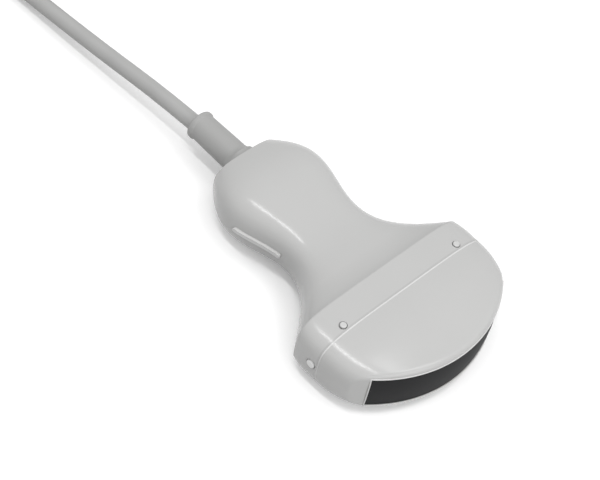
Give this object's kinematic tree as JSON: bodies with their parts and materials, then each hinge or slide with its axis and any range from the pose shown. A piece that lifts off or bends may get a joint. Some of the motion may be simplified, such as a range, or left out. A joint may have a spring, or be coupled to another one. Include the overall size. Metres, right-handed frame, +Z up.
{
  "type": "ultrasound transducer probe",
  "caption": "Hand-held convex ultrasound probe: flared head with a curved lens, waisted grip, strain relief, cable and system plug.",
  "frame": {"origin": "middle of the probe's underside, with its strain relief and without its cable", "axes": "+Z up from the surface it lies on, lens facing -Y, cable leaving along +Y, orientation rib on the -X side"},
  "size_m": [0.1123, 0.3222, 0.024],
  "materials": {
    "housing": "satin",
    "lens": "matte",
    "seal": "matte",
    "pin": "satin",
    "rib": "gloss",
    "boot": "matte",
    "cable": "matte",
    "matching": "matte",
    "ceramic": "satin",
    "backing": "matte",
    "carrier": "machined",
    "chassis": "brushed",
    "board": "satin",
    "flex": "satin",
    "connector": "matte",
    "shield": "satin",
    "steel": "satin",
    "ferrule": "satin",
    "ribbon": "matte",
    "plug_cover": "satin",
    "plug_block": "matte",
    "contact": "polished"
  },
  "bodies": {
    "root": {"handle_shell": "housing", "nose_housing": "housing", "seam_seal": "seal", "broad_locking_pins": "pin", "side_locking_pins": "pin", "orientation_rib": "rib", "acoustic_lens": "lens", "matching_layer_outer": "matching", "matching_layer_inner": "matching", "piezo_elements": "ceramic", "backing_block": "backing", "array_carrier": "carrier", "carrier_screws": "steel", "chassis": "chassis", "interconnect_board_upper": "board", "interconnect_board_lower": "board", "board_spacers": "ferrule", "board_screws": "steel", "flex_circuit_upper": "flex", "flex_circuit_lower": "flex", "flex_connectors": "connector", "shield_upper": "shield", "shield_lower": "shield", "coax_sockets": "connector", "coax_ribbon_upper": "ribbon", "coax_ribbon_lower": "ribbon", "crimp_ferrule": "ferrule", "cable_clamp_upper": "carrier", "cable_clamp_lower": "carrier", "clamp_screws": "steel", "strain_relief": "boot", "cable": "cable", "cable_coil": "cable", "plug_cover_upper": "plug_cover", "plug_cover_lower": "plug_cover", "plug_contact_block": "plug_block", "plug_contacts": "contact", "plug_screws": "steel", "plug_cable_boot": "boot"}
  },
  "joints": []
}
